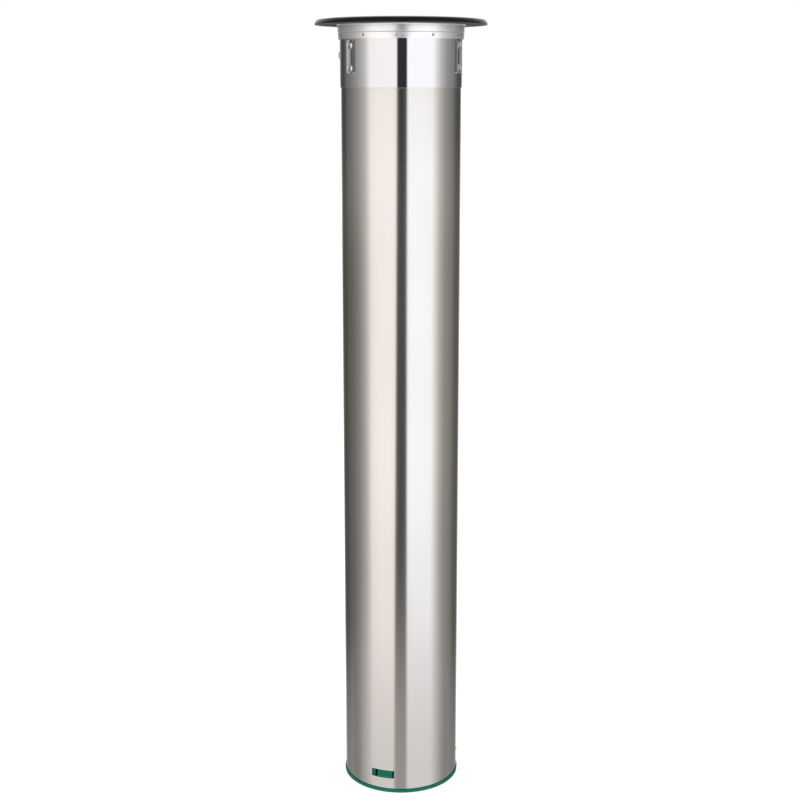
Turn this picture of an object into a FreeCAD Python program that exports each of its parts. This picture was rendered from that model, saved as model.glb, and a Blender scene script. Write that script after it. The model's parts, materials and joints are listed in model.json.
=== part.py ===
"""In-counter cup dispenser: a steel tube that hangs in a worktop cut-out by its flange.

Three long extension springs carry a pusher, which lifts a stack of cups against a ring of
rubber fingers in the flange.  Millimetres, +Z up, origin at the centre of the base, front
towards -Y.  Angles are in degrees round the tube, from the front towards +X.
"""
import FreeCAD, Part
import math
import os

from FreeCAD import Vector

# Tube
TUBE_RADIUS = 45.0
TUBE_WALL = 0.8
TUBE_BOTTOM = 2.9
TUBE_TOP = 583.5
TUBE_BORE = TUBE_RADIUS - TUBE_WALL
SEAM_ANGLE = 150.0
SEAM_WIDTH = 1.0
SEAM_DEPTH = 0.15

# Collar band round the tube's upper end
COLLAR_INNER = 45.05
COLLAR_OUTER = 45.6
COLLAR_BOTTOM = 548.3
COLLAR_TOP = 592.0
COLLAR_EDGE = 0.25

# Neck ring and the flange that it carries
RING_INNER = 45.65
RING_FOOT_RADIUS = 46.5
RING_RADIUS = 47.0
RING_GROOVE_LIP = 46.9
RING_BOTTOM = 583.2
RING_GROOVE_Z = 587.9
RING_GROOVE_HALF = 0.45
RING_GROOVE_DEPTH = 0.35
RING_BEND = 0.9
RIM_RADIUS = 60.5
RIM_BOTTOM = 593.7
RIM_TOP = 595.2
DIMPLE_COUNT = 11
DIMPLE_PHASE = -3.3
DIMPLE_Z = 585.7
DIMPLE_RADIUS = 1.2
DIMPLE_DEPTH = 0.4

# Trim flange on top of the neck ring
TRIM_RADIUS = 64.0
TRIM_EDGE = 0.45
TRIM_SHOULDER = 61.7
TRIM_SHOULDER_Z = 597.4
TRIM_BEVEL_BULGE = (0.35, 0.6)
TRIM_CROWN = 52.0
TRIM_TOP = 598.2
TRIM_INNER = 44.2
TRIM_INNER_Z = 596.6
TRIM_RIM_GAP = 0.15

# Rubber gasket with fingers that hold the top cup back
GASKET_RADIUS = 52.0
GASKET_THICK = 1.1
FINGER_ROOT = 44.0
FINGER_TIP = 35.5
FINGER_DROP = 3.2
FINGER_COUNT = 14
FINGER_SLIT = 1.1
FINGER_SLIT_END = 42.5

# Riveted strips outside and the spring hangers that they back inside
STRIP_ANGLE = -53.2
STRIP_WIDTH = 7.8
STRIP_BOTTOM = 558.7
STRIP_TOP = 582.1
STRIP_EDGE = 46.7
STRIP_FACE = 46.0
STRIP_CHANNEL = 2.0
STRIP_CORNER = 1.2
RIVET_ROWS = (562.3, 578.6)
RIVET_HEAD_RADIUS = 3.0
RIVET_HEAD_TOP = 47.0
RIVET_SHANK_RADIUS = 1.5
RIVET_HOLE_RADIUS = 1.6
RIVET_TAIL_RADIUS = 2.3
RIVET_TAIL_HEIGHT = 0.7
RIVET_TAIL_GAP = 0.1
HANGER_THICK = 0.8
HANGER_WIDTH = 9.0
HANGER_BOTTOM = 557.0
HANGER_TOP = 583.0
HOOK_WIDTH = 2.2
HOOK_THICK = 0.8
HOOK_REACH = 39.2
HOOK_LIP = 2.6
HOOK_BITE = 0.3

# Extension springs
SPRING_LINE = 41.1
SPRING_RADIUS = 2.9
SPRING_WIRE = 0.5
LOOP_RADIUS = 2.3
LOOP_SLACK = 0.06

# Screw and nut that lock the collar to the tube
SCREW_ANGLE = -92.5
SCREW_Z = 571.8
SCREW_HEAD_RADIUS = 3.4
SCREW_HEAD_TOP = 46.9
SCREW_SHANK_RADIUS = 2.0
SCREW_HOLE_RADIUS = 2.15
SCREW_END = 40.0
RECESS_LENGTH = 3.4
RECESS_WIDTH = 0.7
RECESS_DEPTH = 0.8
NUT_FLATS = 7.0
NUT_FACE = 43.95
NUT_HEIGHT = 3.2

# Base cap
BASE_LIP_RADIUS = 45.7
BASE_LIP_EDGE = 0.4
BASE_LIP_TOP = 2.8
BASE_SKIRT_OUTER = 44.0
BASE_SKIRT_INNER = 42.0
BASE_SKIRT_TOP = 24.0
BASE_SKIRT_CHAMFER = 0.8
BASE_FLOOR_TOP = 3.1
BASE_FOOT_INNER = 39.5
BASE_RECESS = 0.8
DRAIN_RADIUS = 6.0
DRAIN_SLOT_COUNT = 6
DRAIN_SLOT_CIRCLE = 23.0
DRAIN_SLOT_LENGTH = 14.0
DRAIN_SLOT_WIDTH = 4.0
RIB_HEIGHT = 5.0
RIB_THICK = 1.6
RIB_END = 39.4
HUB_RADIUS = 9.0

# Latches of the base cap and the windows in the tube that they snap into
LATCH_ANGLE = -16.8
LATCH_WIDTH = 12.0
LATCH_SLIT = 2.3
LATCH_TOP = 20.5
LATCH_ROOT_Z = 4.3
LATCH_TIP_CHAMFER = (0.4, 0.6)
LATCH_NOTCH_INNER = 39.8
LUG_BOTTOM = 12.1
LUG_KNEE = 13.6
LUG_TOP = 17.9
LUG_RADIUS = 45.9
WINDOW_SHIFT = -2.15
WINDOW_WIDTH = 18.6
WINDOW_BOTTOM = 11.8
WINDOW_TOP = 18.2
WINDOW_CORNER = 0.6

# Pusher
PIN_Z = 418.0
PIN_RADIUS = 0.8
PIN_START = 38.0
PIN_END = 43.2
PUSHER_RADIUS = 43.4
PUSHER_SKIRT_WALL = 2.2
PUSHER_SKIRT_BOTTOM = 402.0
PUSHER_DECK_BOTTOM = 412.0
PUSHER_DECK_TOP = 415.0
PUSHER_HUB_HOLE = 10.0
PUSHER_CHAMFER = 1.0
EAR_WIDTH = 8.0
EAR_INNER = 37.2
EAR_OUTER = 43.0
EAR_TOP = 420.0
EAR_SLOT_INNER = 40.4
EAR_SLOT_OUTER = 41.8
EAR_SLOT_FLOOR = 416.4
HEAD_FOOT_RADIUS = 29.0
HEAD_TOP_RADIUS = 26.5
HEAD_TOP = 481.0
HEAD_WALL = 2.0
HEAD_ROUND = 4.0
HEAD_FOOT_HEIGHT = 2.4
HEAD_FLANGE_RADIUS = 35.0
PUSHER_SCREW_CIRCLE = 32.0
PUSHER_SCREW_ANGLE = 7.0
PUSHER_SCREW_RADIUS = 1.5
PUSHER_SCREW_HEAD = 2.7
PUSHER_SCREW_HEAD_HEIGHT = 1.7
PUSHER_SCREW_HEAD_EDGE = 0.7
PUSHER_SCREW_END = 410.0

ORIGIN = Vector(0, 0, 0)
UP = Vector(0, 0, 1)
OUT = Vector(0, -1, 0)
THIRDS = (0.0, 120.0, 240.0)
FIT_GAP = 0.02
MARGIN = 5.0
# How far the middle of a quarter round of radius 1 lies from each of the two faces it joins
QUARTER_MIDDLE = 1 - math.sqrt(0.5)


# ---- helpers -------------------------------------------------------------------------------

def turned(shape, angle):
    """A copy of the shape carried round the tube's axis by the angle."""
    copy = shape.copy()
    copy.rotate(ORIGIN, UP, angle)
    return copy


def ring(inner, outer, bottom, top):
    """A plain round sleeve on the tube's axis."""
    height = top - bottom
    base = Vector(0, 0, bottom)
    return Part.makeCylinder(outer, height, base).cut(Part.makeCylinder(inner, height, base))


def outline(*steps):
    """A closed wire in the XZ half plane.

    A step is a point (r, z), reached by a straight line, or a pair of points, reached by an
    arc through the first to the second.
    """
    def spot(point):
        return Vector(point[0], 0, point[1])

    edges = []
    here = spot(steps[0])
    for step in steps[1:] + steps[:1]:
        if isinstance(step[0], tuple):
            middle, there = spot(step[0]), spot(step[1])
            edges.append(Part.Arc(here, middle, there).toShape())
        else:
            there = spot(step)
            edges.append(Part.LineSegment(here, there).toShape())
        here = there
    return Part.Wire(edges)


def lathe(*steps):
    """A solid of revolution about the tube's axis, from an outline."""
    return Part.Face(outline(*steps)).revolve(ORIGIN, UP, 360)


def level_arc_middle(crest, end):
    """Middle point of the arc that leaves the crest level and drops to the end."""
    run, drop = end[0] - crest[0], crest[1] - end[1]
    radius = (run ** 2 + drop ** 2) / (2 * drop)
    half = run / 2
    return crest[0] + half, crest[1] - radius + math.sqrt(radius ** 2 - half ** 2)


def block(width, inner, outer, bottom, top):
    """A box at the front, centred on x = 0, between two distances from the axis."""
    return Part.makeBox(width, outer - inner, top - bottom, Vector(-width / 2, -outer, bottom))


def radial_rod(radius, inner, outer, z):
    """A round rod at the front that points out from the axis."""
    return Part.makeCylinder(radius, outer - inner, Vector(0, -inner, z), OUT)


def radial_dome(radius, foot, top, z):
    """A domed head at the front: a cap of a sphere that stands on the distance foot."""
    height = top - foot
    sphere_radius = (radius ** 2 + height ** 2) / (2 * height)
    sphere = Part.makeSphere(sphere_radius, Vector(0, -(top - sphere_radius), z))
    return sphere.common(radial_rod(radius, foot, top + 1, z))


def straight_edges(shape, direction):
    """The shape's straight edges that run along a direction."""
    found = []
    for edge in shape.Edges:
        if not isinstance(edge.Curve, Part.Line):
            continue
        if abs(abs(edge.tangentAt(edge.FirstParameter).dot(direction)) - 1) < 1e-6:
            found.append(edge)
    return found


def rounded_block(width, inner, outer, bottom, top, corner):
    """A block whose four edges that point out from the axis are rounded."""
    solid = block(width, inner, outer, bottom, top)
    return solid.makeFillet(corner, straight_edges(solid, OUT))


def group(solids):
    """Separate solids that share one node."""
    return Part.makeCompound(solids)


def rivet_places():
    """The angle and height of each rivet."""
    return [(STRIP_ANGLE + third, z) for third in THIRDS for z in RIVET_ROWS]


def drilled(shape, inner, outer):
    """The shape with the holes for the rivets and for the collar screw."""
    for angle, z in rivet_places():
        shape = shape.cut(turned(radial_rod(RIVET_HOLE_RADIUS, inner, outer, z), angle))
    return shape.cut(turned(radial_rod(SCREW_HOLE_RADIUS, inner, outer, SCREW_Z), SCREW_ANGLE))


# ---- housing -------------------------------------------------------------------------------

def tube():
    """Rolled steel tube with a weld seam, three latch windows and its rivet holes."""
    shell = ring(TUBE_BORE, TUBE_RADIUS, TUBE_BOTTOM, TUBE_TOP)
    seam = block(SEAM_WIDTH, TUBE_RADIUS - SEAM_DEPTH, TUBE_RADIUS + 1, TUBE_BOTTOM, TUBE_TOP)
    shell = shell.cut(turned(seam, SEAM_ANGLE))
    window = rounded_block(
        WINDOW_WIDTH, TUBE_BORE - MARGIN, TUBE_RADIUS + 1, WINDOW_BOTTOM, WINDOW_TOP, WINDOW_CORNER
    )
    for third in THIRDS:
        shell = shell.cut(turned(window, LATCH_ANGLE + WINDOW_SHIFT + third))
    return drilled(shell, TUBE_BORE - 1, TUBE_RADIUS + 1)


def collar():
    """Polished band that stiffens the tube's upper end; its lower edge is rounded."""
    middle = COLLAR_EDGE * QUARTER_MIDDLE
    band = lathe(
        (COLLAR_INNER, COLLAR_BOTTOM),
        (COLLAR_OUTER - COLLAR_EDGE, COLLAR_BOTTOM),
        ((COLLAR_OUTER - middle, COLLAR_BOTTOM + middle), (COLLAR_OUTER, COLLAR_BOTTOM + COLLAR_EDGE)),
        (COLLAR_OUTER, COLLAR_TOP),
        (COLLAR_INNER, COLLAR_TOP),
    )
    return drilled(band, TUBE_RADIUS, COLLAR_OUTER + 1)


def neck_ring():
    """Drawn ring over the collar, with a groove, a ring of stake dimples and a flat rim."""
    groove_top = RING_GROOVE_Z + RING_GROOVE_HALF
    groove_foot = RING_GROOVE_Z - RING_GROOVE_HALF
    middle = RING_BEND * QUARTER_MIDDLE
    body = lathe(
        (RING_INNER, RING_BOTTOM),
        (RING_FOOT_RADIUS, RING_BOTTOM),
        (RING_GROOVE_LIP, groove_foot),
        (RING_RADIUS - RING_GROOVE_DEPTH, RING_GROOVE_Z),
        (RING_RADIUS, groove_top),
        (RING_RADIUS, RIM_BOTTOM - RING_BEND),
        ((RING_RADIUS + middle, RIM_BOTTOM - middle), (RING_RADIUS + RING_BEND, RIM_BOTTOM)),
        (RIM_RADIUS, RIM_BOTTOM),
        (RIM_RADIUS, RIM_TOP),
        (RING_INNER, RIM_TOP),
    )
    climb = (DIMPLE_Z - RING_BOTTOM) / (groove_foot - RING_BOTTOM)
    wall = RING_FOOT_RADIUS + (RING_GROOVE_LIP - RING_FOOT_RADIUS) * climb
    ball_radius = (DIMPLE_RADIUS ** 2 + DIMPLE_DEPTH ** 2) / (2 * DIMPLE_DEPTH)
    ball = Part.makeSphere(ball_radius, Vector(0, -(wall - DIMPLE_DEPTH + ball_radius), DIMPLE_Z))
    for i in range(DIMPLE_COUNT):
        body = body.cut(turned(ball, DIMPLE_PHASE + i * 360 / DIMPLE_COUNT))
    return body


def trim_flange():
    """Moulded flange with a bevelled rim and a low crown; it hides the neck ring's rim."""
    middle = TRIM_EDGE * QUARTER_MIDDLE
    bevel_middle = (
        (TRIM_RADIUS + TRIM_SHOULDER) / 2 + TRIM_BEVEL_BULGE[0],
        (RIM_BOTTOM + TRIM_SHOULDER_Z) / 2 + TRIM_BEVEL_BULGE[1],
    )
    shoulder = (TRIM_SHOULDER, TRIM_SHOULDER_Z)
    crest = (TRIM_CROWN, TRIM_TOP)
    mouth = (TRIM_INNER, TRIM_INNER_Z)
    gasket_top = RIM_TOP + GASKET_THICK
    return lathe(
        (RIM_RADIUS + TRIM_RIM_GAP, RIM_BOTTOM),
        (TRIM_RADIUS - TRIM_EDGE, RIM_BOTTOM),
        ((TRIM_RADIUS - middle, RIM_BOTTOM + middle), (TRIM_RADIUS, RIM_BOTTOM + TRIM_EDGE)),
        (bevel_middle, shoulder),
        (level_arc_middle(crest, shoulder), crest),
        (level_arc_middle(crest, mouth), mouth),
        (TRIM_INNER, gasket_top),
        (GASKET_RADIUS, gasket_top),
        (GASKET_RADIUS, RIM_TOP),
        (RIM_RADIUS + TRIM_RIM_GAP, RIM_TOP),
    )


def cup_gasket():
    """Rubber ring clamped under the flange, with fingers that lean in and down."""
    top = RIM_TOP + GASKET_THICK
    tip_top = top - FINGER_DROP
    body = lathe(
        (GASKET_RADIUS, RIM_TOP),
        (GASKET_RADIUS, top),
        (FINGER_ROOT, top),
        (FINGER_TIP, tip_top),
        (FINGER_TIP, tip_top - GASKET_THICK),
        (FINGER_ROOT, RIM_TOP),
    )
    slit = block(FINGER_SLIT, FINGER_TIP - 1, FINGER_SLIT_END, RIM_TOP - MARGIN, top + 1)
    for i in range(FINGER_COUNT):
        body = body.cut(turned(slit, (i + 0.5) * 360 / FINGER_COUNT))
    return body


def hanger_strip():
    """Outside strip that spreads the load of two rivets; built at the front.

    Its back follows the collar, its face is a shallow channel, and each rivet has a flat seat.
    """
    edge = STRIP_WIDTH / 2
    floor = STRIP_CHANNEL / 2
    profile = (
        (-edge, TUBE_RADIUS),
        (edge, TUBE_RADIUS),
        (edge, STRIP_EDGE),
        (floor, STRIP_FACE),
        (-floor, STRIP_FACE),
        (-edge, STRIP_EDGE),
        (-edge, TUBE_RADIUS),
    )
    section = Part.makePolygon([Vector(x, -depth, STRIP_BOTTOM) for x, depth in profile])
    strip = Part.Face(section).extrude(UP * (STRIP_TOP - STRIP_BOTTOM))
    strip = strip.common(
        rounded_block(STRIP_WIDTH, TUBE_RADIUS, STRIP_EDGE + 1, STRIP_BOTTOM, STRIP_TOP, STRIP_CORNER)
    )
    strip = strip.cut(ring(TUBE_BORE, COLLAR_OUTER + FIT_GAP, STRIP_BOTTOM - 1, STRIP_TOP + 1))
    for z in RIVET_ROWS:
        strip = strip.cut(radial_rod(RIVET_HOLE_RADIUS, TUBE_RADIUS, STRIP_EDGE + 1, z))
        strip = strip.cut(radial_rod(RIVET_HEAD_RADIUS + FIT_GAP, STRIP_FACE, STRIP_EDGE + 1, z))
    return strip


def spring_hanger():
    """Inside plate with a hook at its foot for a spring's upper loop; built at the front."""
    inner = TUBE_BORE - HANGER_THICK
    sleeve = ring(inner, TUBE_BORE - FIT_GAP, HANGER_BOTTOM, HANGER_TOP)
    plate = sleeve.common(
        rounded_block(HANGER_WIDTH, inner - MARGIN, TUBE_BORE, HANGER_BOTTOM, HANGER_TOP, STRIP_CORNER)
    )
    shelf = block(HOOK_WIDTH, HOOK_REACH, inner + HOOK_BITE, HANGER_BOTTOM, HANGER_BOTTOM + HOOK_THICK)
    lip = block(
        HOOK_WIDTH, HOOK_REACH, HOOK_REACH + HOOK_THICK, HANGER_BOTTOM, HANGER_BOTTOM + HOOK_LIP
    )
    hanger = plate.fuse(shelf).fuse(lip)
    for z in RIVET_ROWS:
        hanger = hanger.cut(radial_rod(RIVET_HOLE_RADIUS, inner - 1, TUBE_BORE + 1, z))
    return hanger.removeSplitter()


def hanger_rivets():
    """Six domed rivets through strip, collar, tube and hanger."""
    inner = TUBE_BORE - HANGER_THICK
    rivets = []
    for angle, z in rivet_places():
        head = radial_dome(RIVET_HEAD_RADIUS, STRIP_FACE, RIVET_HEAD_TOP, z)
        shank = radial_rod(RIVET_SHANK_RADIUS, inner - RIVET_TAIL_HEIGHT, STRIP_FACE, z)
        tail = radial_rod(RIVET_TAIL_RADIUS, inner - RIVET_TAIL_HEIGHT, inner - RIVET_TAIL_GAP, z)
        rivets.append(turned(head.fuse(shank).fuse(tail), angle))
    return group(rivets)


def collar_screw():
    """Pan head screw with a cross recess, through the collar and the tube."""
    head = radial_dome(SCREW_HEAD_RADIUS, COLLAR_OUTER, SCREW_HEAD_TOP, SCREW_Z)
    shank = radial_rod(SCREW_SHANK_RADIUS, SCREW_END, COLLAR_OUTER, SCREW_Z)
    screw = head.fuse(shank)
    floor = SCREW_HEAD_TOP - RECESS_DEPTH
    for width, height in ((RECESS_LENGTH, RECESS_WIDTH), (RECESS_WIDTH, RECESS_LENGTH)):
        bar = block(width, floor, SCREW_HEAD_TOP + 1, SCREW_Z - height / 2, SCREW_Z + height / 2)
        screw = screw.cut(bar)
    return turned(screw, SCREW_ANGLE)


def collar_nut():
    """Hexagon nut on the collar screw, inside the tube."""
    corner_radius = NUT_FLATS / 2 / math.cos(math.radians(30))
    turns = [math.radians(60 * i) for i in range(7)]
    corners = [
        Vector(corner_radius * math.cos(turn), -NUT_FACE, SCREW_Z + corner_radius * math.sin(turn))
        for turn in turns
    ]
    nut = Part.Face(Part.makePolygon(corners)).extrude(Vector(0, NUT_HEIGHT, 0))
    bore = radial_rod(SCREW_SHANK_RADIUS + FIT_GAP, NUT_FACE - NUT_HEIGHT - 1, NUT_FACE + 1, SCREW_Z)
    return turned(nut.cut(bore), SCREW_ANGLE)


def base_floor_holes():
    """The centre drain and the ring of drain slots, as cutters."""
    depth = BASE_FLOOR_TOP + RIB_HEIGHT + 2
    cutters = [Part.makeCylinder(DRAIN_RADIUS, depth, Vector(0, 0, -1))]
    half_width = DRAIN_SLOT_WIDTH / 2
    reach = DRAIN_SLOT_LENGTH / 2 - half_width
    slot = block(
        2 * reach, DRAIN_SLOT_CIRCLE - half_width, DRAIN_SLOT_CIRCLE + half_width, -1, depth
    )
    for side in (-reach, reach):
        slot = slot.fuse(Part.makeCylinder(half_width, depth + 1, Vector(side, -DRAIN_SLOT_CIRCLE, -1)))
    slot = slot.removeSplitter()
    for i in range(DRAIN_SLOT_COUNT):
        cutters.append(turned(slot, i * 360 / DRAIN_SLOT_COUNT))
    return cutters


def base_cap():
    """Moulded plug: a lip under the tube, a skirt inside it, a ribbed floor with drains."""
    middle = BASE_LIP_EDGE * QUARTER_MIDDLE
    rib_top = BASE_FLOOR_TOP + RIB_HEIGHT
    cap = lathe(
        (0, BASE_RECESS),
        (BASE_FOOT_INNER, BASE_RECESS),
        (BASE_FOOT_INNER, 0),
        (BASE_LIP_RADIUS - BASE_LIP_EDGE, 0),
        ((BASE_LIP_RADIUS - middle, middle), (BASE_LIP_RADIUS, BASE_LIP_EDGE)),
        (BASE_LIP_RADIUS, BASE_LIP_TOP),
        (BASE_SKIRT_OUTER, BASE_LIP_TOP),
        (BASE_SKIRT_OUTER, BASE_SKIRT_TOP - BASE_SKIRT_CHAMFER),
        (BASE_SKIRT_OUTER - BASE_SKIRT_CHAMFER, BASE_SKIRT_TOP),
        (BASE_SKIRT_INNER, BASE_SKIRT_TOP),
        (BASE_SKIRT_INNER, BASE_FLOOR_TOP),
        (0, BASE_FLOOR_TOP),
    )
    cap = cap.fuse(Part.makeCylinder(HUB_RADIUS, RIB_HEIGHT, Vector(0, 0, BASE_FLOOR_TOP)))
    rib = block(RIB_THICK, HUB_RADIUS - 1, RIB_END, BASE_FLOOR_TOP, rib_top)
    for i in range(DRAIN_SLOT_COUNT):
        cap = cap.fuse(turned(rib, (i + 0.5) * 360 / DRAIN_SLOT_COUNT))
    for cutter in base_floor_holes():
        cap = cap.cut(cutter)
    notch_width = LATCH_WIDTH + 2 * LATCH_SLIT
    notch = block(
        notch_width, LATCH_NOTCH_INNER, BASE_SKIRT_OUTER + 1, BASE_FLOOR_TOP, BASE_SKIRT_TOP + 1
    )
    for third in THIRDS:
        cap = cap.cut(turned(notch, LATCH_ANGLE + third))
    return cap.removeSplitter()


def base_latch():
    """Springy tongue of the base cap with the lug that snaps into a window; at the front.

    It is a sector of the skirt, turned through the tongue's width.
    """
    root_radius = (BASE_SKIRT_OUTER - BASE_SKIRT_INNER) / 2
    root_line = BASE_SKIRT_INNER + root_radius
    sweep = 2 * math.degrees(math.asin(LATCH_WIDTH / 2 / BASE_SKIRT_OUTER))
    profile = outline(
        (BASE_SKIRT_INNER, LATCH_ROOT_Z),
        ((root_line, LATCH_ROOT_Z - root_radius), (BASE_SKIRT_OUTER, LATCH_ROOT_Z)),
        (BASE_SKIRT_OUTER, LUG_BOTTOM),
        (LUG_RADIUS, LUG_BOTTOM),
        (LUG_RADIUS, LUG_KNEE),
        (BASE_SKIRT_OUTER, LUG_TOP),
        (BASE_SKIRT_OUTER, LATCH_TOP),
        (BASE_SKIRT_INNER + LATCH_TIP_CHAMFER[0], LATCH_TOP),
        (BASE_SKIRT_INNER, LATCH_TOP - LATCH_TIP_CHAMFER[1]),
    )
    return turned(Part.Face(profile).revolve(ORIGIN, UP, sweep), -90 - sweep / 2)


# ---- pusher --------------------------------------------------------------------------------

def pusher_plate():
    """Piston-like plate: a guide skirt, a deck, and three ears for the spring pins."""
    skirt_inner = PUSHER_RADIUS - PUSHER_SKIRT_WALL
    plate = lathe(
        (PUSHER_HUB_HOLE, PUSHER_DECK_BOTTOM),
        (skirt_inner, PUSHER_DECK_BOTTOM),
        (skirt_inner, PUSHER_SKIRT_BOTTOM),
        (PUSHER_RADIUS, PUSHER_SKIRT_BOTTOM),
        (PUSHER_RADIUS, PUSHER_DECK_TOP - PUSHER_CHAMFER),
        (PUSHER_RADIUS - PUSHER_CHAMFER, PUSHER_DECK_TOP),
        (PUSHER_HUB_HOLE, PUSHER_DECK_TOP),
    )
    ear_foot = PUSHER_DECK_TOP - 1
    ear = block(EAR_WIDTH, EAR_INNER, EAR_OUTER, ear_foot, EAR_TOP)
    ear = ear.cut(block(EAR_WIDTH + 2, EAR_SLOT_INNER, EAR_SLOT_OUTER, EAR_SLOT_FLOOR, EAR_TOP + 1))
    ear = ear.common(Part.makeCylinder(PUSHER_RADIUS, EAR_TOP - ear_foot, Vector(0, 0, ear_foot)))
    bore = radial_rod(PIN_RADIUS, PIN_START, PUSHER_RADIUS + 1, PIN_Z)
    for third in THIRDS:
        plate = plate.fuse(turned(ear, STRIP_ANGLE + third))
    for third in THIRDS:
        plate = plate.cut(turned(bore, STRIP_ANGLE + third))
    return pusher_screw_holes(plate).removeSplitter()


def pusher_screw_holes(shape):
    """The shape with the three holes for the screws that join head and plate."""
    depth = HEAD_TOP - PUSHER_SKIRT_BOTTOM
    place = Vector(0, -PUSHER_SCREW_CIRCLE, PUSHER_SKIRT_BOTTOM)
    hole = Part.makeCylinder(PUSHER_SCREW_RADIUS + FIT_GAP, depth, place)
    for third in THIRDS:
        shape = shape.cut(turned(hole, PUSHER_SCREW_ANGLE + third))
    return shape


def pusher_head():
    """Hollow hat that stands on the plate and carries the lowest cup."""
    foot_top = PUSHER_DECK_TOP + HEAD_FOOT_HEIGHT
    middle = HEAD_ROUND * QUARTER_MIDDLE
    head = lathe(
        (HEAD_FOOT_RADIUS - HEAD_WALL, PUSHER_DECK_TOP),
        (HEAD_FLANGE_RADIUS, PUSHER_DECK_TOP),
        (HEAD_FLANGE_RADIUS, foot_top),
        (HEAD_FOOT_RADIUS, foot_top),
        (HEAD_TOP_RADIUS, HEAD_TOP - HEAD_ROUND),
        ((HEAD_TOP_RADIUS - middle, HEAD_TOP - middle), (HEAD_TOP_RADIUS - HEAD_ROUND, HEAD_TOP)),
        (0, HEAD_TOP),
        (0, HEAD_TOP - HEAD_WALL),
        (HEAD_TOP_RADIUS - HEAD_ROUND, HEAD_TOP - HEAD_WALL),
        (HEAD_TOP_RADIUS - HEAD_WALL, HEAD_TOP - HEAD_ROUND),
    )
    return pusher_screw_holes(head)


def pusher_screws():
    """Three screws that hold the head to the plate, heads upwards."""
    top = PUSHER_DECK_TOP + HEAD_FOOT_HEIGHT
    end = Vector(0, -PUSHER_SCREW_CIRCLE, PUSHER_SCREW_END)
    head_foot = Vector(0, -PUSHER_SCREW_CIRCLE, top)
    shank = Part.makeCylinder(PUSHER_SCREW_RADIUS, top - PUSHER_SCREW_END, end)
    head = Part.makeCylinder(PUSHER_SCREW_HEAD, PUSHER_SCREW_HEAD_HEIGHT, head_foot)
    head = head.makeFillet(PUSHER_SCREW_HEAD_EDGE, [head.Edges[0]])
    screw = shank.fuse(head)
    return group([turned(screw, PUSHER_SCREW_ANGLE + third) for third in THIRDS])


def spring_pins():
    """Three short steel pins, one across each ear's slot, for the springs' lower loops."""
    pin = radial_rod(PIN_RADIUS, PIN_START, PIN_END, PIN_Z)
    return group([turned(pin, STRIP_ANGLE + third) for third in THIRDS])


# ---- springs -------------------------------------------------------------------------------

def spring_loop(z):
    """Round end loop of a spring, square to the radius; built at the front."""
    return Part.makeTorus(LOOP_RADIUS, SPRING_WIRE / 2, Vector(0, -SPRING_LINE, z), OUT)


def pusher_spring():
    """Close-wound extension spring as a sleeve with an end loop at each end; at the front."""
    inside = LOOP_RADIUS - SPRING_WIRE / 2
    contact = math.sqrt(inside ** 2 - (HOOK_WIDTH / 2) ** 2)
    upper_loop = HANGER_BOTTOM + HOOK_THICK - contact + LOOP_SLACK
    lower_loop = PIN_Z - PIN_RADIUS + inside - LOOP_SLACK
    top = upper_loop - LOOP_RADIUS + SPRING_WIRE / 2
    bottom = lower_loop + LOOP_RADIUS - SPRING_WIRE / 2
    axis_foot = Vector(0, -SPRING_LINE, bottom)
    barrel = Part.makeCylinder(SPRING_RADIUS, top - bottom, axis_foot)
    core = Part.makeCylinder(
        SPRING_RADIUS - SPRING_WIRE, top - bottom - 2 * SPRING_WIRE, axis_foot + UP * SPRING_WIRE
    )
    return barrel.cut(core).fuse(spring_loop(upper_loop)).fuse(spring_loop(lower_loop))


# ---- writing -------------------------------------------------------------------------------

def parts():
    """Each node's name and shape."""
    nodes = {
        "tube": tube(),
        "collar": collar(),
        "neck_ring": neck_ring(),
        "trim_flange": trim_flange(),
        "cup_gasket": cup_gasket(),
        "hanger_rivets": hanger_rivets(),
        "collar_screw": collar_screw(),
        "collar_nut": collar_nut(),
        "base_cap": base_cap(),
        "pusher_plate": pusher_plate(),
        "pusher_head": pusher_head(),
        "pusher_screws": pusher_screws(),
        "spring_pins": spring_pins(),
    }
    for number, third in enumerate(THIRDS, start=1):
        nodes[f"hanger_strip_{number}"] = turned(hanger_strip(), STRIP_ANGLE + third)
        nodes[f"spring_hanger_{number}"] = turned(spring_hanger(), STRIP_ANGLE + third)
        nodes[f"pusher_spring_{number}"] = turned(pusher_spring(), STRIP_ANGLE + third)
        nodes[f"base_latch_{number}"] = turned(base_latch(), LATCH_ANGLE + third)
    return nodes


os.makedirs("parts", exist_ok=True)
for name, shape in parts().items():
    shape.exportStep(f"parts/{name}.step")
    print(name, len(shape.Solids), "solids", round(shape.Volume, 1), "mm3", shape.isValid())
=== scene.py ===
import json
import math

import bpy
import numpy as np
from mathutils import Matrix, Vector


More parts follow.
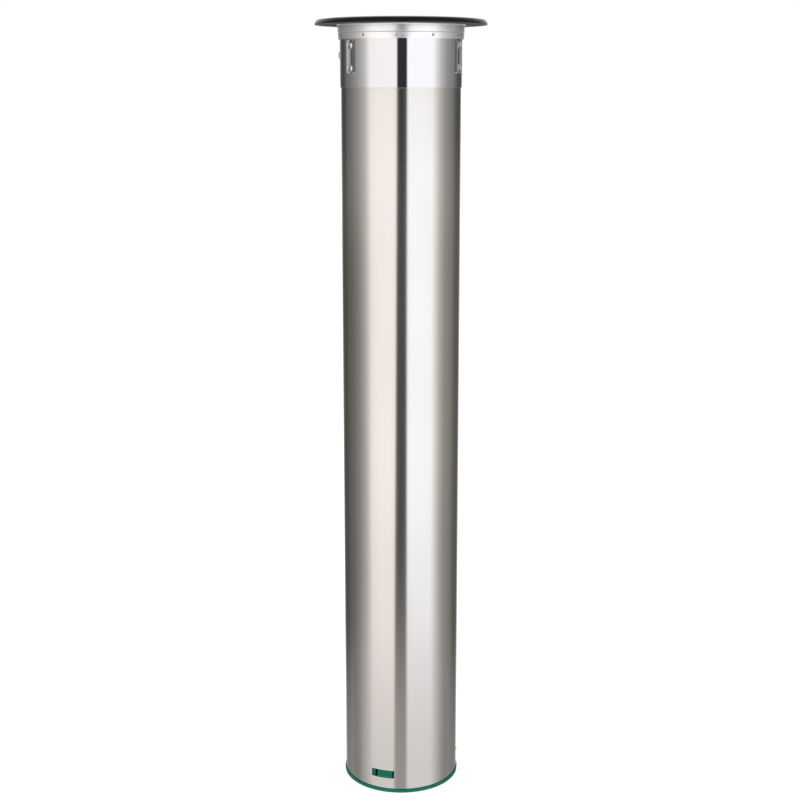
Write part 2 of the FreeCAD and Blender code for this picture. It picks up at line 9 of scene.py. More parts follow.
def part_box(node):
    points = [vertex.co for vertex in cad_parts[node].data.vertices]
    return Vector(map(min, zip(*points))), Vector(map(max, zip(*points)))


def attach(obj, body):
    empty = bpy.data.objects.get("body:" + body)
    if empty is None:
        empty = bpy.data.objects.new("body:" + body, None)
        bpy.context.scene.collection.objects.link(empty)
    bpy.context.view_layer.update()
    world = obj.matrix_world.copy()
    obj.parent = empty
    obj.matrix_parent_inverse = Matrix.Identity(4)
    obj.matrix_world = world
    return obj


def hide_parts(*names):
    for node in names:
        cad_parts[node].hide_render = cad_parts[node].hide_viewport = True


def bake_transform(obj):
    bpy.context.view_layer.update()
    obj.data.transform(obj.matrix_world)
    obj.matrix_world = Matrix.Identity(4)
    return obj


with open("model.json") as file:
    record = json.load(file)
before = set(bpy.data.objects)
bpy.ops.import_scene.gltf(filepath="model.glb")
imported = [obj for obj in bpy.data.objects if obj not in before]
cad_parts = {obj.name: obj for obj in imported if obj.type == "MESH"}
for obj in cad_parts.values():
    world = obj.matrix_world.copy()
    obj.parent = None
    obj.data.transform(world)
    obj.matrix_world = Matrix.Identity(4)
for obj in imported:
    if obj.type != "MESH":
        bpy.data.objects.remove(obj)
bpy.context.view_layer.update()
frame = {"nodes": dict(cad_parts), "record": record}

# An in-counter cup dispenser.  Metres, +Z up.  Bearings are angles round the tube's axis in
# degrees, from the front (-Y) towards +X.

MM = 0.001
THIRDS = (1, 2, 3)

# How finely round shapes are cut
ROUND_COLUMNS = 360
SHEET_COLUMNS = 720
RING_COLUMNS = 1320
RING_WALL_ROWS = 18
COLLAR_BACK_COLUMNS = 1440
SMALL_COLUMNS = 64
SCREW_COLUMNS = 72
WIRE_SIDES = 8
COIL_COLUMNS = 20
LOOP_POINTS = 31
# Any direction that no wire starts along
WIRE_HINT = (0.3, 0.5, 0.8)
ARC_STEP = 9.0
# Shorter distances count as none
NEARLY_NOTHING = 1e-9
# A face is round when its normal is at least this much in line with the radius
ROUND_FACING = 0.99
# A face looks down when its normal's z is below this
LOOKING_DOWN = -0.9
# How far the middle of a quarter round of radius 1 lies from each of the two faces it joins
QUARTER_MIDDLE = 1 - math.sqrt(0.5)

# Details that the frame's boxes don't give
COLLAR_EDGE = 0.25 * MM
RING_FOOT_STEP = 0.5 * MM
RING_LIP_STEP = 0.1 * MM
RING_GROOVE_Z = 587.9 * MM
RING_GROOVE_HALF = 0.45 * MM
RING_GROOVE_DEPTH = 0.35 * MM
RING_WALL = 47.0 * MM
RING_BEND = 0.9 * MM
DIMPLE_COUNT = 11
DIMPLE_PHASE = -3.3
DIMPLE_Z = 585.7 * MM
DIMPLE_RADIUS = 1.2 * MM
DIMPLE_DEPTH = 0.4 * MM
# Over these distances from a dimple's middle its dark painted shade and warm outer shade fade out
DIMPLE_SHADE = (0.3 * DIMPLE_RADIUS, DIMPLE_RADIUS)
DIMPLE_FRINGE = (0.8 * DIMPLE_RADIUS, 1.7 * DIMPLE_RADIUS)
# How far inside the foot's radius a vertex still counts as the ring's outer wall
RING_WALL_MARGIN = 0.01 * MM
RIM_RADIUS = 60.5 * MM
# Over these distances from the axis the ring's satin turns into painted shade on the rim's
# underside
RIM_SHADE = (RING_WALL + 0.3 * MM, RING_WALL + 1.6 * MM)
TRIM_RIM_GAP = 0.15 * MM
TRIM_EDGE = 0.45 * MM
TRIM_BEVEL = (2.3 * MM, 0.8 * MM)
TRIM_BEVEL_BULGE = (0.35 * MM, 0.6 * MM)
TRIM_MOUTH_RISE = 0.3 * MM
GASKET_THICK = 1.1 * MM
FINGER_ROOT = 44.0 * MM
FINGER_TIP_ROUND = 0.35 * MM
# Where a finger's rounded tip is foremost, and where it meets the underside
FINGER_TIP_DROP = 0.25 * MM
FINGER_TIP_FOOT = 0.1 * MM
FINGER_TIP_SLOPE = 0.35
FINGER_TIP_SETBACK = 0.2
FINGER_CUT_HEIGHT = 12 * MM
FINGER_COUNT = 14
FINGER_SLIT = 1.1 * MM
# The slits' corner radius as a share of their width, just short of a full round
FINGER_SLIT_ROUND = 0.49
STRIP_WIDTH = 7.8 * MM
STRIP_CHANNEL = 2.0 * MM
STRIP_FACE = 46.0 * MM
STRIP_EDGE = 46.7 * MM
STRIP_CORNER = 1.2 * MM
STRIP_SOFTENING = 0.05 * MM
# How far inside the strip's edges the painted shade along them sets in and is full
STRIP_EDGE_SHADE = (0.12 * MM, 0.02 * MM)
FIT_GAP = 0.02 * MM
# How far a cutter runs past what it cuts
OVERRUN = 1 * MM
RIVET_HEAD = 3.0 * MM
RIVET_SHANK = 1.5 * MM
RIVET_TAIL = 2.3 * MM
RIVET_TAIL_HEIGHT = 0.7 * MM
RIVET_TAIL_EDGE = 0.2 * MM
RIVET_TAIL_GAP = 0.1 * MM
SCREW_HEAD = 3.4 * MM
SCREW_SHANK = 2.0 * MM
SCREW_POINT = 0.3 * MM
RECESS_LENGTH = 3.4 * MM
RECESS_WIDTH = 0.7 * MM
RECESS_CORNER = 0.15 * MM
RECESS_DEPTH = 0.8 * MM
SPRING_RADIUS = 2.9 * MM
SPRING_WIRE = 0.5 * MM
LOOP_RADIUS = 2.3 * MM
# An end loop's first bearing round its own middle, and how far each point turns from the last
LOOP_START = -30.0
LOOP_STEP = 9.6
WINDOW_SHIFT = -2.15
WINDOW_WIDTH = 18.6 * MM
WINDOW_BOTTOM = 11.8 * MM
WINDOW_TOP = 18.2 * MM
WINDOW_CORNER = 0.6 * MM
SEAM_BEARING = 150.0
SEAM_WIDTH = 1.0 * MM
SEAM_DEPTH = 0.15 * MM
# How far from the weld's middle its tint starts and ends to fade
WELD_TINT = (0.4 * MM, 1.9 * MM)

# Floor: half its side, how far inside the base's edge its glow sets in, and the glow's strength
# Under the base the floor has no glow: a painted shadow
FLOOR_HALF = 400.0
FLOOR_GLOW_MARGIN = 1.5 * MM
FLOOR_GLOW = 0.80

# Camera
LENS = 63.92
SENSOR = 36.0
CAMERA_PLACE = (0.0, -1.08226, 0.55336)
CAMERA_TILT = 11.738
CAMERA_SHIFT = (-0.001375, -0.03)
CAMERA_NEAR = 0.01


# ---- measuring the frame -------------------------------------------------------------------

def node_points(node):
    """The CAD node's vertices."""
    return np.array([v.co for v in frame["nodes"][node].data.vertices])


def reach(node):
    """Least and greatest distance from the tube's axis, and lowest and highest z."""
    x, y, z = node_points(node).T
    radii = np.hypot(x, y)
    return tuple(float(value) for value in (radii.min(), radii.max(), z.min(), z.max()))


def bearing(node):
    """The bearing of the middle of a CAD node that lies to one side of the axis."""
    x, y, _ = node_points(node).T
    angles = np.arctan2(x, -y)
    middle = math.atan2(np.sin(angles).mean(), np.cos(angles).mean())
    offsets = (angles - middle + math.pi) % (2 * math.pi) - math.pi
    return math.degrees(middle + (offsets.min() + offsets.max()) / 2)


def depths(node, angle):
    """Least and greatest distance of a CAD node along a bearing."""
    along = node_points(node) @ np.array(outward(angle))
    return float(along.min()), float(along.max())


def outward(angle):
    """Unit vector that points away from the axis at a bearing."""
    return Vector((math.sin(math.radians(angle)), -math.cos(math.radians(angle)), 0))


def standing(angle, z=0.0):
    """Matrix whose local Z points out from the axis at a bearing, local Y up."""
    out = outward(angle)
    side = Vector((-out.y, out.x, 0))
    matrix = Matrix((side, Vector((0, 0, 1)), out)).transposed().to_4x4()
    matrix.translation = Vector((0, 0, z))
    return matrix


def upright(angle):
    """Matrix that turns something built at the front to a bearing."""
    return Matrix.Rotation(math.radians(angle), 4, "Z")


# ---- outlines and solids of revolution -----------------------------------------------------

def straight(start, end):
    """A straight stretch: two points, each (r, z, normal r, normal z)."""
    run = math.dist(start, end)
    normal = ((end[1] - start[1]) / run, -(end[0] - start[0]) / run)
    return [(*start, *normal), (*end, *normal)]


def circle_through(a, b, c):
    """Centre of the circle through three points."""
    d = 2 * (a[0] * (b[1] - c[1]) + b[0] * (c[1] - a[1]) + c[0] * (a[1] - b[1]))
    squares = [p[0] ** 2 + p[1] ** 2 for p in (a, b, c)]
    x = (squares[0] * (b[1] - c[1]) + squares[1] * (c[1] - a[1]) + squares[2] * (a[1] - b[1])) / d
    y = (squares[0] * (c[0] - b[0]) + squares[1] * (a[0] - c[0]) + squares[2] * (b[0] - a[0])) / d
    return x, y


def curved(start, through, end):
    """A round stretch through three points, cut so that it turns ARC_STEP at a time."""
    cx, cy = circle_through(start, through, end)
    radius = math.dist((cx, cy), start)
    first, middle, last = (math.atan2(p[1] - cy, p[0] - cx) for p in (start, through, end))
    turn = (last - first) % (2 * math.pi)
    if (middle - first) % (2 * math.pi) > turn:
        turn -= 2 * math.pi
    side = 1 if turn > 0 else -1
    count = max(2, math.ceil(abs(math.degrees(turn)) / ARC_STEP))
    points = []
    for i in range(count + 1):
        angle = first + turn * i / count
        c, s = math.cos(angle), math.sin(angle)
        points.append((cx + radius * c, cy + radius * s, side * c, side * s))
    return points


def outline(*steps):
    """A closed outline in (r, z), anticlockwise, as a list of stretches.

    A step is a point, reached by a straight line, or a pair of points, reached by an arc
    through the first to the second.
    """
    stretches = []
    here = steps[0]
    for step in steps[1:] + steps[:1]:
        if isinstance(step[0], tuple):
            stretches.append(curved(here, *step))
            here = step[1]
        elif math.dist(here, step) > NEARLY_NOTHING:
            stretches.append(straight(here, step))
            here = step
    return stretches


def new_object(name, data):
    """An object in the scene's own collection."""
    piece = bpy.data.objects.new(name, data)
    bpy.context.scene.collection.objects.link(piece)
    return piece


def revolve(name, stretches, columns=ROUND_COLUMNS):
    """A solid of revolution with exact normals."""
    angles = np.radians(np.arange(columns) * 360 / columns)
    sines, cosines = np.sin(angles), np.cos(angles)
    verts, faces, normals, rows = [], [], [], []
    for stretch in stretches:
        for r, z, _, _ in stretch[:-1]:
            if r < NEARLY_NOTHING:
                rows.append([len(verts)] * columns)
                verts.append((0.0, 0.0, z))
            else:
                rows.append(list(range(len(verts), len(verts) + columns)))
                verts.extend(zip(r * sines, -r * cosines, [z] * columns))
    pairs = [(p, q) for stretch in stretches for p, q in zip(stretch, stretch[1:])]
    for i, (p, q) in enumerate(pairs):
        low, high = rows[i], rows[(i + 1) % len(rows)]
        for j in range(columns):
            k = (j + 1) % columns
            corners = [(low[j], p, j), (low[k], p, k), (high[k], q, k), (high[j], q, j)]
            kept = [c for n, c in enumerate(corners) if c[0] != corners[n - 1][0]]
            if len(kept) < 3:
                continue
            faces.append([vertex for vertex, _, _ in kept])
            for _, (_, _, out, up), column in kept:
                normals.append((out * sines[column], -out * cosines[column], up))
    mesh = bpy.data.meshes.new(name)
    mesh.from_pydata(verts, [], faces)
    mesh.polygons.foreach_set("use_smooth", [True] * len(faces))
    mesh.normals_split_custom_set(normals)
    return new_object(name, mesh)


def apply_modifiers(piece):
    """Makes a piece's modifiers part of its mesh."""
    graph = bpy.context.evaluated_depsgraph_get()
    mesh = bpy.data.meshes.new_from_object(piece.evaluated_get(graph), depsgraph=graph)
    piece.modifiers.clear()
    piece.data = mesh
    return piece


def cut(piece, *cutters):
    """Cuts each cutter out of a piece and removes the cutter."""
    for cutter in cutters:
        modifier = piece.modifiers.new("cut", "BOOLEAN")
        modifier.operation = "DIFFERENCE"
        modifier.solver = "EXACT"
        modifier.object = cutter
    apply_modifiers(piece)
    for cutter in cutters:
        bpy.data.objects.remove(cutter)
    return piece


def join(name, pieces):
    """One object from several."""
    bpy.ops.object.select_all(action="DESELECT")
    for piece in pieces:
        piece.select_set(True)
    bpy.context.view_layer.objects.active = pieces[0]
    bpy.ops.object.join()
    pieces[0].name = name
    pieces[0].data.name = name
    return pieces[0]


def smooth_by_angle(piece, angle=30.0):
    """Smooth shading with edges sharper than the angle kept."""
    piece.data.polygons.foreach_set("use_smooth", [True] * len(piece.data.polygons))
    piece.data.set_sharp_from_angle(angle=math.radians(angle))
    return piece


def soften(piece, width, segments=3, angle=35.0):
    """Rounds a piece's sharp edges and keeps its large faces flat."""
    bevel = piece.modifiers.new("edges", "BEVEL")
    bevel.width = width
    bevel.segments = segments
    bevel.limit_method = "ANGLE"
    bevel.angle_limit = math.radians(angle)
    bevel.harden_normals = False
    apply_modifiers(piece)
    smooth_by_angle(piece)
    weigh = piece.modifiers.new("normals", "WEIGHTED_NORMAL")
    weigh.keep_sharp = True
    return apply_modifiers(piece)


def prism(name, loop, depth):
    """A straight prism: a loop of (x, y) points raised along Z by the depth."""
    mesh = bpy.data.meshes.new(name)
    count = len(loop)
    verts = [(x, y, 0.0) for x, y in loop] + [(x, y, depth) for x, y in loop]
    faces = [list(range(count))[::-1], list(range(count, 2 * count))]
    faces += [(i, (i + 1) % count, count + (i + 1) % count, count + i) for i in range(count)]
    mesh.from_pydata(verts, [], faces)
    return new_object(name, mesh)


def circle_points(radius, count):
    """Corner points of a circle about the origin, anticlockwise."""
    return [
        (radius * math.cos(2 * math.pi * i / count), radius * math.sin(2 * math.pi * i / count))
        for i in range(count)
    ]


def rounded_rectangle(width, height, corner, steps=6):
    """Corner points of a rounded rectangle about the origin, anticlockwise."""
    points = []
    for quarter, (sx, sy) in enumerate(((1, 1), (-1, 1), (-1, -1), (1, -1))):
        for i in range(steps + 1):
            angle = math.pi / 2 * (quarter + i / steps)
            points.append((
                sx * (width / 2 - corner) + corner * math.cos(angle),
                sy * (height / 2 - corner) + corner * math.sin(angle),
            ))
    return points


# ---- materials -----------------------------------------------------------------------------

# The Mix node's colour sockets; its number and vector sockets have the same names
MIX_FIRST, MIX_SECOND, MIX_RESULT = 6, 7, 2


class NodeTree:
    """A node tree, with short ways to add sums, colours and patterns to it."""

    def __init__(self, tree):
        self.nodes = tree.nodes
        self.links = tree.links

    def feed(self, socket, value):
        """Sets a socket to a number or a colour, or links it to another node's output."""
        if isinstance(value, tuple):
            socket.default_value = (*value, 1.0)
        elif isinstance(value, (int, float)):
            socket.default_value = value
        else:
            self.links.new(value, socket)

    def math(self, operation, *values):
        """A Math node."""
        node = self.nodes.new("ShaderNodeMath")
        node.operation = operation
        for socket, value in zip(node.inputs, values):
            self.feed(socket, value)
        return node.outputs["Value"]

    def length(self, x, y):
        """Length of the line across two sides at right angles."""
        squares = self.math("ADD", self.math("POWER", x, 2.0), self.math("POWER", y, 2.0))
        return self.math("SQRT", squares)

    def along(self, vector, direction):
        """How far a vector reaches along a fixed direction."""
        node = self.nodes.new("ShaderNodeVectorMath")
        node.operation = "DOT_PRODUCT"
        self.links.new(vector, node.inputs[0])
        node.inputs[1].default_value = direction
        return node.outputs["Value"]

    def parts(self, vector):
        """A vector's x, y and z."""
        node = self.nodes.new("ShaderNodeSeparateXYZ")
        self.links.new(vector, node.inputs["Vector"])
        return node.outputs

    def between(self, fac, low, high, start=0.3, end=0.7):
        """A number that goes from low to high as fac goes from start to end."""
        node = self.nodes.new("ShaderNodeMapRange")
        node.interpolation_type = "SMOOTHSTEP"
        names = ("Value", "From Min", "From Max", "To Min", "To Max")
        for name, value in zip(names, (fac, start, end, low, high)):
            self.feed(node.inputs[name], value)
        return node.outputs["Result"]

    def mix(self, fac, first, second, how="MIX"):
        """A colour between two colours, or another blend of the two."""
        node = self.nodes.new("ShaderNodeMix")
        node.data_type = "RGBA"
        node.blend_type = how
        self.feed(node.inputs["Factor"], fac)
        self.feed(node.inputs[MIX_FIRST], first)
        self.feed(node.inputs[MIX_SECOND], second)
        return node.outputs[MIX_RESULT]


class Finish(NodeTree):
    """A material with a Principled shader, patterned in the object's own coordinates."""

    def __init__(self, name, **values):
        self.material = bpy.data.materials.new(name)
        self.material.use_nodes = True
        super().__init__(self.material.node_tree)
        self.shader = self.nodes["Principled BSDF"]
        for socket, value in values.items():
            self.shader.inputs[socket.replace("_", " ")].default_value = value
        self.place = self.nodes.new("ShaderNodeTexCoord").outputs["Object"]

    def stretched(self, scale):
        """Object coordinates, stretched."""
        mapping = self.nodes.new("ShaderNodeMapping")
        mapping.inputs["Scale"].default_value = scale
        self.links.new(self.place, mapping.inputs["Vector"])
        return mapping.outputs["Vector"]

    def noise(self, scale, detail=4.0, roughness=0.55, distortion=0.0):
        """Noise whose size along each axis is 1 / scale metres."""
        texture = self.nodes.new("ShaderNodeTexNoise")
        texture.inputs["Scale"].default_value = 1.0
        texture.inputs["Detail"].default_value = detail
        texture.inputs["Roughness"].default_value = roughness
        texture.inputs["Distortion"].default_value = distortion
        self.links.new(self.stretched(scale), texture.inputs["Vector"])
        return texture.outputs["Fac"]

    def bump(self, *layers):
        """Stacks bump layers: (height, strength, distance in metres)."""
        normal = None
        for height, strength, distance in layers:
            node = self.nodes.new("ShaderNodeBump")
            node.inputs["Strength"].default_value = strength
            node.inputs["Distance"].default_value = distance
            self.links.new(height, node.inputs["Height"])
            if normal is not None:
                self.links.new(normal, node.inputs["Normal"])
            normal = node.outputs["Normal"]
        self.links.new(normal, self.shader.inputs["Normal"])

    def drive(self, socket, value):
        """Feeds a pattern to a socket of the shader."""
        self.links.new(value, self.shader.inputs[socket])


def steel(name, light, dark, roughness, grain, grain_depth, cloud=(14.0, 14.0, 9.0), spread=0.03):
    """Bright sheet steel: a fine grain, slow cloudiness in its gloss, and few small scuffs."""
    finish = Finish(name, Metallic=1.0)
    lines = finish.noise(grain, detail=3.0)
    clouds = finish.noise(cloud, detail=2.0)
    scuffs = finish.noise((420.0, 420.0, 260.0), detail=5.0, roughness=0.7)
    finish.drive("Base Color", finish.mix(finish.between(clouds, 0.0, 1.0), light, dark))
    gloss = finish.between(lines, roughness - spread, roughness + spread)
    worn = finish.between(scuffs, 0.0, spread, 0.62, 0.78)
    finish.drive("Roughness", finish.math("ADD", gloss, worn))
    finish.bump((lines, 0.25, grain_depth))
    return finish.material


def moulded(name, colour, shade, roughness, pore_scale=2600.0, depth=0.004 * MM, **values):
    """Moulded plastic: a fine eggshell texture and a slow change of shade from the flow."""
    finish = Finish(name, **values)
    pores = finish.noise((pore_scale, pore_scale, pore_scale), detail=2.0)
    flow = finish.noise((30.0, 30.0, 30.0), detail=3.0, distortion=0.6)
    finish.drive("Base Color", finish.mix(finish.between(flow, 0.0, 1.0), colour, shade))
    finish.drive("Roughness", finish.between(pores, roughness - 0.04, roughness + 0.04))
    finish.bump((pores, 0.3, depth))
    return finish.material


def rubber():
    """Dull black rubber with a trace of dust."""
    finish = Finish("rubber_fingers", IOR=1.5)
    dust = finish.noise((350.0, 350.0, 350.0), detail=6.0, roughness=0.7)
    pores = finish.noise((1800.0, 1800.0, 1800.0), detail=3.0)
    dusty = finish.between(dust, 0.0, 1.0, 0.45, 0.8)
    finish.drive("Base Color", finish.mix(dusty, (0.018, 0.018, 0.019), (0.05, 0.049, 0.047)))
    finish.drive("Roughness", finish.between(dust, 0.62, 0.8))
    finish.bump((pores, 0.4, 0.02 * MM))
    return finish.material


def tube_steel():
    """The tube's steel, a little warm, with a dull tinted line along its weld."""
    finish = Finish("tube_sheet", Metallic=1.0)
    lines = finish.noise((900.0, 900.0, 6.0), detail=3.0)
    clouds = finish.noise((16.0, 16.0, 5.0), detail=2.0)
    scuffs = finish.noise((300.0, 300.0, 90.0), detail=6.0, roughness=0.7)
    out = outward(SEAM_BEARING)
    away = finish.math("ABSOLUTE", finish.along(finish.place, (-out.y, out.x, 0)))
    behind = finish.math("GREATER_THAN", finish.along(finish.place, out), 0.0)
    weld = finish.math("MULTIPLY", finish.between(away, 1.0, 0.0, *WELD_TINT), behind)
    sheet = finish.mix(finish.between(clouds, 0.0, 1.0), (0.73, 0.71, 0.69), (0.69, 0.665, 0.64))
    finish.drive("Base Color", finish.mix(weld, sheet, (0.55, 0.50, 0.42)))
    gloss = finish.between(lines, 0.115, 0.145)
    worn = finish.between(scuffs, 0.0, 0.03, 0.6, 0.8)
    bead = finish.math("MULTIPLY", weld, 0.2)
    finish.drive("Roughness", finish.math("ADD", finish.math("ADD", gloss, worn), bead))
    finish.bump((lines, 0.2, 0.0015 * MM))
    return finish.material


def ring_satin():
    """Satin aluminium, pale; painted shade on the rim's underside and in the stake dimples."""
    finish = Finish("ring_satin")
    blast = finish.noise((1500.0, 1500.0, 1500.0), detail=3.0)
    rings = finish.noise((30.0, 30.0, 2500.0), detail=3.0)
    clouds = finish.noise((18.0, 18.0, 18.0), detail=2.0)
    x, y, z = finish.parts(finish.place)
    radius = finish.length(x, y)
    pitch = 2 * math.pi / DIMPLE_COUNT
    angle = finish.math("ARCTAN2", x, finish.math("MULTIPLY", y, -1.0))
    count = finish.math("MULTIPLY_ADD", angle, 1 / pitch, -math.radians(DIMPLE_PHASE) / pitch + 0.5)
    offset = finish.math("SUBTRACT", finish.math("FRACT", count), 0.5)
    across = finish.math("MULTIPLY", offset, pitch * RING_WALL)
    up = finish.math("SUBTRACT", z, DIMPLE_Z)
    away = finish.length(across, up)
    # Painted shade in each stake dimple: dark brown at its middle, warmer and fainter round it
    dimple_shade = finish.between(away, 1.0, 0.0, *DIMPLE_SHADE)
    # Painted shade on the rim's underside, under the trim: dark, dull and not metallic
    under = finish.between(radius, 0.0, 1.0, *RIM_SHADE)
    cloudy = finish.between(clouds, 0.0, 1.0)
    pale = finish.mix(cloudy, (0.95, 0.955, 0.955), (0.91, 0.915, 0.92))
    fringe = finish.between(away, 1.0, 0.0, *DIMPLE_FRINGE)
    tinted = finish.mix(fringe, pale, (0.88, 0.78, 0.66))
    dimple_shaded = finish.mix(dimple_shade, tinted, (0.42, 0.34, 0.27))
    finish.drive("Base Color", finish.mix(under, dimple_shaded, (0.05, 0.05, 0.052)))
    finish.drive("Metallic", finish.between(under, 0.85, 0.0, 0.0, 1.0))
    satin = finish.between(rings, 0.25, 0.33)
    finish.drive("Roughness", finish.math("MULTIPLY_ADD", under, 0.65, satin))
    finish.bump((blast, 0.2, 0.004 * MM), (rings, 0.2, 0.003 * MM))
    return finish.material


def strip_polish():
    """Polished strip steel with a thin line of painted shade along its edges."""
    finish = Finish("strip_polish", Metallic=1.0)
    lines = finish.noise((900.0, 20.0, 900.0), detail=3.0)
    smears = finish.noise((90.0, 60.0, 90.0), detail=4.0)
    across = finish.math("ABSOLUTE", finish.parts(finish.place)["X"])
    shade_start, shade_full = (STRIP_WIDTH / 2 - inset for inset in STRIP_EDGE_SHADE)
    edge_shade = finish.between(across, 0.0, 1.0, shade_start, shade_full)
    smeared = finish.between(smears, 0.0, 1.0)
    bright = finish.mix(smeared, (0.86, 0.86, 0.87), (0.80, 0.80, 0.81))
    # Painted shade: the strip's edges turn dark, the way the shaded gap under them looks
    finish.drive("Base Color", finish.mix(edge_shade, bright, (0.22, 0.215, 0.21)))
    gloss = finish.between(lines, 0.07, 0.12)
    finish.drive("Roughness", finish.math("MULTIPLY_ADD", edge_shade, 0.2, gloss))
    finish.bump((lines, 0.2, 0.001 * MM))
    return finish.material


MATERIALS = {
    "tube_steel": tube_steel(),
    "collar_steel": steel(
        "collar_polish", (0.80, 0.80, 0.82), (0.77, 0.77, 0.79), 0.06,
        grain=(12.0, 12.0, 2200.0), grain_depth=0.0008 * MM, spread=0.015
    ),
    "ring_steel": ring_satin(),
    "strip_steel": strip_polish(),
    "hanger_steel": steel(
        "hanger_mill", (0.66, 0.66, 0.67), (0.58, 0.58, 0.58), 0.34,
        grain=(700.0, 700.0, 40.0), grain_depth=0.004 * MM
    ),
    "rivet_steel": steel(
        "rivet_bright", (0.86, 0.85, 0.82), (0.80, 0.78, 0.74), 0.12,
        grain=(900.0, 900.0, 900.0), grain_depth=0.002 * MM
    ),
    "spring_wire": steel(
        "spring_drawn", (0.72, 0.72, 0.73), (0.62, 0.62, 0.62), 0.22,
        grain=(600.0, 600.0, 600.0), grain_depth=0.002 * MM
    ),
    "trim_plastic": moulded(
        "trim_black", (0.005, 0.005, 0.006), (0.008, 0.008, 0.009), 0.22,
        Specular_IOR_Level=0.3, Sheen_Weight=0.12, Sheen_Roughness=0.35
    ),
    "base_plastic": moulded(
        "base_green", (0.0, 0.20, 0.13), (0.0, 0.17, 0.108), 0.32, Specular_IOR_Level=0.2
    ),
    "pusher_plastic": moulded("pusher_ivory", (0.78, 0.76, 0.70), (0.74, 0.72, 0.66), 0.42),
    "gasket_rubber": rubber(),
}


def zinc_plate():
    """Pale zinc plating, duller than the bright steel round it."""
    finish = Finish("screw_zinc", Metallic=0.45)
    spangle = finish.noise((700.0, 700.0, 700.0), detail=4.0)
    patchy = finish.between(spangle, 0.0, 1.0)
    finish.drive("Base Color", finish.mix(patchy, (0.90, 0.89, 0.87), (0.80, 0.79, 0.77)))
    finish.drive("Roughness", finish.between(spangle, 0.34, 0.46))
    finish.bump((spangle, 0.2, 0.004 * MM))
    return finish.material


def dress(piece, slot, body, *nodes, material=None):
    """Gives a piece its material and its body, and hides the CAD nodes that it stands for."""
    piece.data.materials.clear()
    piece.data.materials.append(material or MATERIALS[slot])
    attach(piece, body)
    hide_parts(*nodes)
    return piece


def dress_cad_nodes():
    """Puts the finished materials on the CAD nodes that stay in view."""
    for part in frame["record"]["subparts"]:
        node = frame["nodes"][part["node"]]
        for place in node.material_slots:
            place.material = MATERIALS[part["material_slot"]]


# ---- housing -------------------------------------------------------------------------------

def tube():
    """Rolled tube with its weld groove and three latch windows."""
    inner, outer, bottom, top = reach("tube")
    sheet = outline((inner, bottom), (outer, bottom), (outer, top), (inner, top))
    piece = revolve("tube_sheet", sheet, SHEET_COLUMNS)
    cutters = []
    for k in THIRDS:
        angle = bearing(f"base_latch_{k}") + WINDOW_SHIFT
        loop = rounded_rectangle(WINDOW_WIDTH, WINDOW_TOP - WINDOW_BOTTOM, WINDOW_CORNER)
        cutter = prism("window", loop, outer)
        cutter.matrix_world = standing(angle, (WINDOW_TOP + WINDOW_BOTTOM) / 2)
        cutters.append(cutter)
    floor_line = outer - SEAM_DEPTH
    half = SEAM_WIDTH / 2
    loop = [
        (-half, -floor_line - OVERRUN), (half, -floor_line - OVERRUN),
        (half, -floor_line), (-half, -floor_line),
    ]
    groove = prism("weld_groove", loop, top - bottom + 2 * OVERRUN)
    groove.matrix_world = Matrix.Translation((0, 0, bottom - OVERRUN)) @ upright(SEAM_BEARING)
    cutters.append(groove)
    bpy.context.view_layer.update()
    cut(piece, *cutters)
    round_normals(piece.data)
    return dress(piece, "tube_steel", "housing", "tube")


def round_normals(mesh):
    """Exact normals for the round walls of a tube about the axis."""
    count = len(mesh.loops)
    places = np.zeros(len(mesh.vertices) * 3, np.float32)
    mesh.vertices.foreach_get("co", places)
    places = places.reshape(-1, 3)
    corners = np.zeros(count, np.int32)
    mesh.loops.foreach_get("vertex_index", corners)
    faces = np.zeros(len(mesh.polygons) * 3, np.float32)
    mesh.polygons.foreach_get("normal", faces)
    totals = np.zeros(len(mesh.polygons), np.int32)
    mesh.polygons.foreach_get("loop_total", totals)
    normals = np.repeat(faces.reshape(-1, 3), totals, axis=0)
    away = places[corners] * (1, 1, 0)
    away /= np.linalg.norm(away, axis=1)[:, None]
    facing = (normals * away).sum(1)
    is_round = np.abs(facing) > ROUND_FACING
    normals[is_round] = away[is_round] * np.sign(facing[is_round])[:, None]
    mesh.polygons.foreach_set("use_smooth", [True] * len(mesh.polygons))
    mesh.normals_split_custom_set(normals.tolist())


def collar():
    """Polished band with a rounded lower edge."""
    inner, outer, bottom, top = reach("collar")
    bend = COLLAR_EDGE * QUARTER_MIDDLE
    piece = revolve("collar_band", outline(
        (inner, bottom),
        (outer - COLLAR_EDGE, bottom),
        ((outer - bend, bottom + bend), (outer, bottom + COLLAR_EDGE)),
        (outer, top),
        (inner, top),
    ), SHEET_COLUMNS)
    return dress(piece, "collar_steel", "housing", "collar")


def neck_ring():
    """Satin ring with a groove and a row of stake dimples; its rim lies under the trim."""
    inner, rim, bottom, top = reach("neck_ring")
    rim_bottom = reach("trim_flange")[2]
    foot = RING_WALL - RING_FOOT_STEP
    lean = RING_WALL - RING_LIP_STEP - foot
    bend = RING_BEND * QUARTER_MIDDLE
    height = RING_GROOVE_Z - RING_GROOVE_HALF - bottom
    rows = RING_WALL_ROWS
    wall = [(foot + lean * i / rows, bottom + height * i / rows) for i in range(rows + 1)]
    groove_top = (RING_WALL, RING_GROOVE_Z + RING_GROOVE_HALF)
    piece = revolve("neck_ring_satin", outline(
        (inner, bottom),
        *wall,
        ((RING_WALL - RING_GROOVE_DEPTH, RING_GROOVE_Z), groove_top),
        (RING_WALL, rim_bottom - RING_BEND),
        ((RING_WALL + bend, rim_bottom - bend), (RING_WALL + RING_BEND, rim_bottom)),
        (rim, rim_bottom),
        (rim, top),
        (inner, top),
    ), RING_COLUMNS)
    stake_dimples(piece.data)
    return dress(piece, "ring_steel", "housing", "neck_ring")


